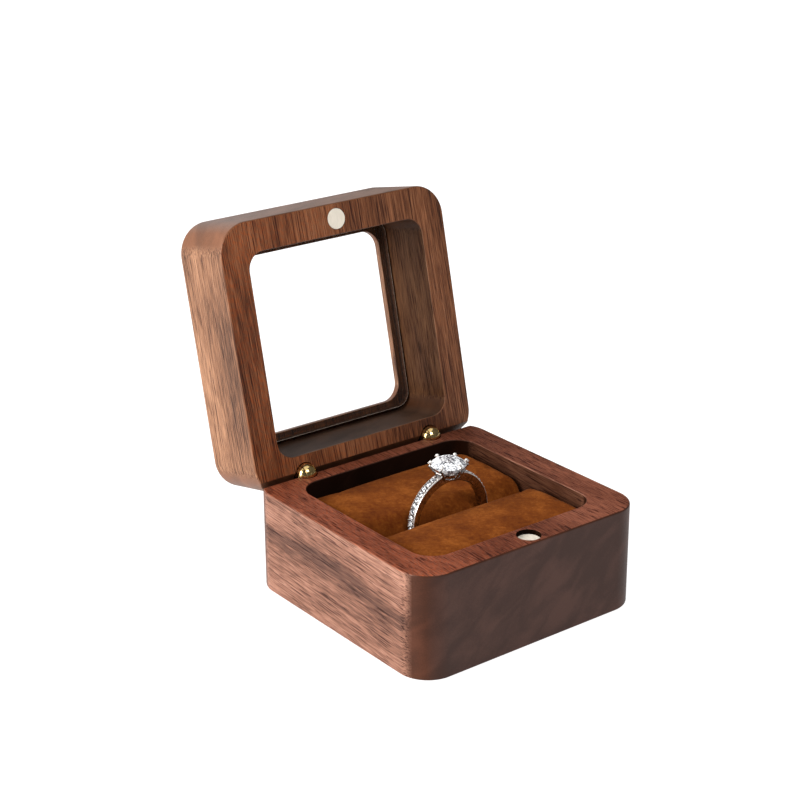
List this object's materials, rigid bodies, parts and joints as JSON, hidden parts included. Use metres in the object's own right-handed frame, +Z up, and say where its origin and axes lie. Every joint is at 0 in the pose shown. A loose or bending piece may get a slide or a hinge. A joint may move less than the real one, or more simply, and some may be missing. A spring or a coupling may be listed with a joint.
{
  "type": "ring box",
  "caption": "Square walnut ring box with a glazed lid on hidden ball hinges, a magnet catch, suede pads and a solitaire ring held in the slot between them.",
  "frame": {"origin": "centre of the base's underside", "axes": "+X to the right, +Y towards the hinges, +Z up; drawn with the lid open on its stop"},
  "size_m": [0.06, 0.0863, 0.0789],
  "materials": {
    "walnut": "satin, oiled",
    "suede": "napped",
    "foam": "open-cell foam",
    "brass": "polished",
    "magnet": "nickel plate",
    "pane": "clear, polished",
    "silver": "polished white metal",
    "diamond": "faceted, clear"
  },
  "bodies": {
    "base": {"base_box": "walnut", "base_magnet": "magnet", "rear_foam": "foam", "rear_cover": "suede", "front_foam": "foam", "front_cover": "suede", "left_hinge_base_barrel": "brass", "right_hinge_base_barrel": "brass", "left_hinge_pin": "brass", "right_hinge_pin": "brass", "ring_band": "silver", "ring_head": "silver", "ring_stone": "diamond", "left_pave_stones": "diamond", "right_pave_stones": "diamond"},
    "lid": {"lid_frame": "walnut", "window_pane": "pane", "lid_magnet": "magnet", "left_hinge_lid_barrel": "brass", "right_hinge_lid_barrel": "brass"}
  },
  "joints": [
    {"name": "lid_hinge", "type": "hinge", "parent": "base", "child": "lid", "pos_m": [0, 0.027, 0.02335], "axis": [1, 0, 0], "range_deg": [0, 102.8]}
  ]
}
